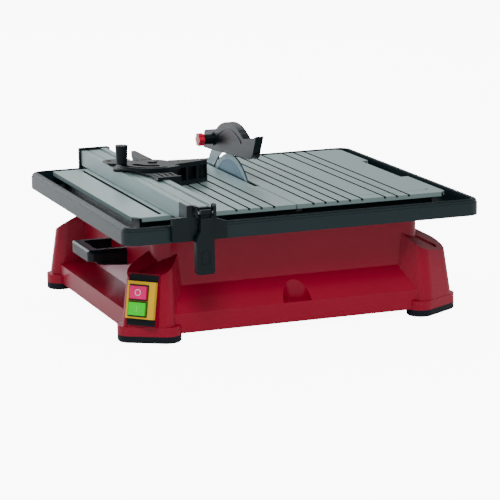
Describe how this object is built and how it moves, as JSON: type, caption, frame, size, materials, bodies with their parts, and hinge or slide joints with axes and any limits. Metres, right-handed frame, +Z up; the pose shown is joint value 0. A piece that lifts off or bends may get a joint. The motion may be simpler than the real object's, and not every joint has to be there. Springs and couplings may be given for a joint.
{
  "type": "tile cutter",
  "caption": "Bench tile cutter with a water tray, tilting right plate, guarded diamond blade, rip fence with lever clamp and mitre gauge on four corner legs.",
  "frame": {"origin": "middle of the overall box, on the floor the feet stand on", "axes": "+X to the right along the front, +Y to the back, +Z up; the blade turns about X"},
  "size_m": [0.508, 0.5, 0.2417],
  "materials": {
    "red_shell": "glossy",
    "slate_plastic": "satin",
    "tub_plastic": "satin",
    "coated_steel": "smooth grey coating",
    "fence_metal": "anodised",
    "blade_steel": "ground",
    "zinc_steel": "zinc plated",
    "motor_iron": "laminated",
    "motor_alloy": "cast",
    "motor_paint": "black enamel",
    "rubber": "matt",
    "dark_plastic": "fine grain",
    "red_knob": "glossy",
    "cover_yellow": "satin",
    "stop_red": "satin",
    "start_green": "satin"
  },
  "bodies": {
    "base": {"base_housing": "red_shell", "base_skirt": "red_shell", "leg_front_left": "red_shell", "leg_front_right": "red_shell", "leg_rear_left": "red_shell", "leg_rear_right": "red_shell", "bottom_plate": "tub_plastic", "foot_front_left": "rubber", "foot_front_right": "rubber", "foot_rear_left": "rubber", "foot_rear_right": "rubber", "splash_tray": "slate_plastic", "left_table": "coated_steel", "hinge_brackets": "zinc_steel", "hinge_pins": "zinc_steel", "water_tub": "tub_plastic", "drain_plug": "rubber", "bearing_front": "zinc_steel", "bearing_rear": "zinc_steel", "motor_front_bell": "motor_alloy", "motor_housing": "motor_paint", "stator_core": "motor_iron", "motor_rear_bell": "motor_alloy", "motor_bracket": "zinc_steel", "riving_knife": "blade_steel", "knife_bracket": "zinc_steel", "knife_screws": "zinc_steel", "guard_bolt": "zinc_steel", "carry_handle": "dark_plastic", "handle_screws": "zinc_steel", "switch_frame": "dark_plastic", "switch_cover": "cover_yellow", "cable_gland": "dark_plastic", "tray_screws": "zinc_steel", "bottom_screws": "zinc_steel"},
    "spindle": {"spindle_shaft": "zinc_steel", "blade": "blade_steel", "inner_flange": "zinc_steel", "outer_flange": "zinc_steel", "arbor_nut": "zinc_steel", "rotor_core": "motor_iron", "cooling_fan": "dark_plastic"},
    "guard": {"blade_guard": "slate_plastic"},
    "guard_nut": {"guard_knob": "red_knob"},
    "fence": {"fence_rail": "fence_metal", "fence_clamp": "slate_plastic", "lever_pin": "zinc_steel", "fence_rear_hook": "slate_plastic"},
    "lever": {"clamp_lever": "slate_plastic"},
    "mitre_carriage": {"mitre_slider": "slate_plastic", "mitre_pivot": "zinc_steel"},
    "mitre_head": {"protractor": "slate_plastic", "mitre_face": "slate_plastic"},
    "mitre_lock": {"mitre_knob": "dark_plastic"},
    "tilting_table": {"right_table": "coated_steel", "bevel_quadrant": "zinc_steel"},
    "bevel_lock": {"bevel_lock_knob": "dark_plastic"},
    "stop_key": {"stop_button": "stop_red"},
    "start_key": {"start_button": "start_green"}
  },
  "joints": [
    {"name": "spindle_spin", "type": "hinge", "parent": "base", "child": "spindle", "pos_m": [0.0095, 0.086, 0.104], "axis": [1, 0, 0], "continuous": true},
    {"name": "guard_tilt", "type": "hinge", "parent": "base", "child": "guard", "pos_m": [0.0095, 0.147, 0.208], "axis": [-1, 0, 0], "range_deg": [0, 30]},
    {"name": "guard_nut_turn", "type": "hinge", "parent": "base", "child": "guard_nut", "pos_m": [-0.016, 0.147, 0.208], "axis": [1, 0, 0], "range_deg": [-90, 360]},
    {"name": "fence_slide", "type": "slide", "parent": "base", "child": "fence", "axis": [1, 0, 0], "range_m": [-0.03, 0.018]},
    {"name": "lever_lift", "type": "hinge", "parent": "fence", "child": "lever", "pos_m": [-0.1492, -0.2435, 0.181], "axis": [-1, 0, 0], "range_deg": [0, 75]},
    {"name": "mitre_slide", "type": "slide", "parent": "fence", "child": "mitre_carriage", "axis": [0, 1, 0], "range_m": [-0.15, 0.09]},
    {"name": "mitre_swing", "type": "hinge", "parent": "mitre_carriage", "child": "mitre_head", "pos_m": [-0.1217, 0.0525, 0.192], "axis": [0, 0, 1], "range_deg": [-37, 8]},
    {"name": "mitre_lock_turn", "type": "hinge", "parent": "mitre_carriage", "child": "mitre_lock", "pos_m": [-0.165, 0.058, 0.21], "axis": [0, 0, 1], "range_deg": [-360, 90]},
    {"name": "table_bevel", "type": "hinge", "parent": "base", "child": "tilting_table", "pos_m": [0.021, 0.0245, 0.1604], "axis": [0, -1, 0], "range_deg": [0, 45]},
    {"name": "bevel_lock_turn", "type": "hinge", "parent": "base", "child": "bevel_lock", "pos_m": [0.1466, 0.216, 0.1268], "axis": [0, 1, 0], "range_deg": [-90, 360]},
    {"name": "stop_press", "type": "slide", "parent": "base", "child": "stop_key", "axis": [0.689, 0.689, -0.225], "range_m": [0, 0.003], "stiffness_N_per_m": 900, "springref_m": -0.001},
    {"name": "start_press", "type": "slide", "parent": "base", "child": "start_key", "axis": [0.689, 0.689, -0.225], "range_m": [0, 0.003], "stiffness_N_per_m": 900, "springref_m": -0.001}
  ]
}
